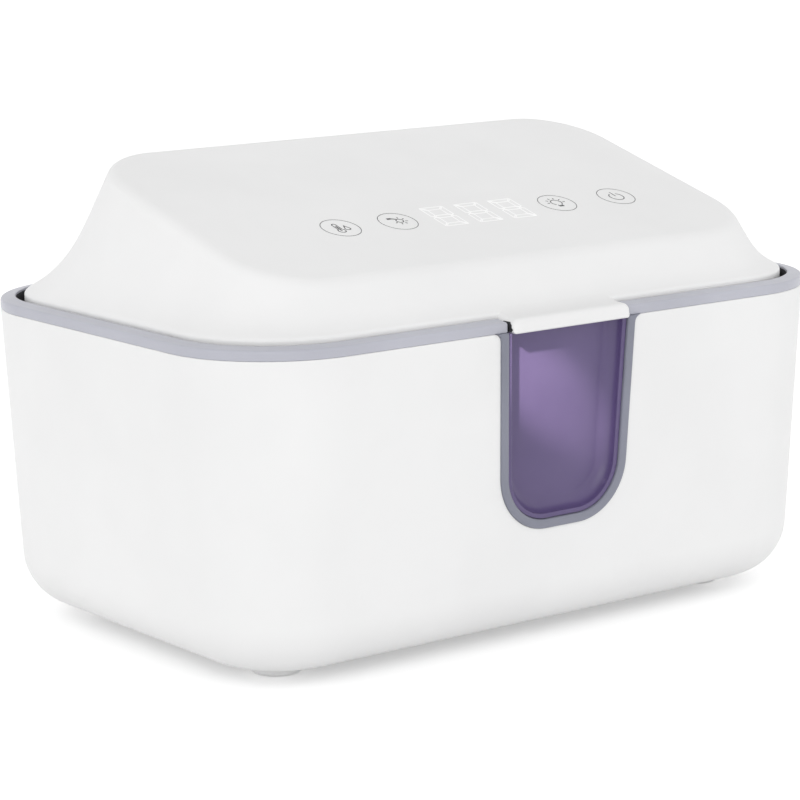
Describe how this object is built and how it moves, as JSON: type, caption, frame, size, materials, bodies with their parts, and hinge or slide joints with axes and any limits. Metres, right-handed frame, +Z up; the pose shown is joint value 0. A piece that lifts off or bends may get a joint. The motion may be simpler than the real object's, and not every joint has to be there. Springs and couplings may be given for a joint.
{
  "type": "baby wipe warmer",
  "caption": "Free-standing heated box for baby wipes with a hinged lid, a tilted touch panel with a digit display, a violet window and an inner tank.",
  "frame": {"origin": "on the plane the warmer stands on, under the middle of its footprint, lifting tab and hinge included", "axes": "+Z up, -Y towards the front with the window and the lifting tab, +X to the right as seen from the front"},
  "size_m": [0.236, 0.1623, 0.1468],
  "materials": {
    "body_white": "moulded, satin to gloss",
    "rim_lavender": "moulded, translucent pearl",
    "lens_violet": "moulded, tinted and translucent",
    "inner_pearl": "moulded, fine satin",
    "steel": "plated",
    "aluminium_sheet": "rolled sheet",
    "brass_pin": "turned",
    "seal_rubber": "silicone, matt",
    "board_green": "glass-fibre board with solder mask",
    "black_plastic": "moulded, matt",
    "wire_jacket": "extruded jacket",
    "film_amber": "polyimide film",
    "foam_grey": "closed-cell foam",
    "display_white": "moulded display body"
  },
  "bodies": {
    "base": {"outer_housing": "body_white", "base_cover": "body_white", "cover_screws": "steel", "foot_pads": "seal_rubber", "rim_frame": "rim_lavender", "window_trim": "rim_lavender", "window_lens": "lens_violet", "night_light_board": "board_green", "container": "inner_pearl", "heater_plate": "aluminium_sheet", "heating_film": "film_amber", "insulation_pad": "foam_grey", "thermistor": "black_plastic", "thermal_fuse": "steel", "power_board": "board_green", "board_screws": "steel", "power_inlet": "black_plastic", "inlet_contacts": "brass_pin", "inlet_leads": "wire_jacket", "heater_leads": "wire_jacket", "light_lead": "wire_jacket", "base_harness": "wire_jacket", "hinge_pins": "steel"},
    "lid": {"lid_shell": "body_white", "lid_liner": "inner_pearl", "lid_gasket": "seal_rubber", "lid_screws": "steel", "control_board": "board_green", "control_screws": "steel", "led_display": "display_white", "touch_springs": "steel", "buzzer": "black_plastic", "lid_harness": "wire_jacket"}
  },
  "joints": [
    {"name": "lid_hinge", "type": "hinge", "parent": "base", "child": "lid", "pos_m": [0, 0.0772, 0.1079], "axis": [-1, 0, 0], "range_deg": [0, 100]}
  ]
}
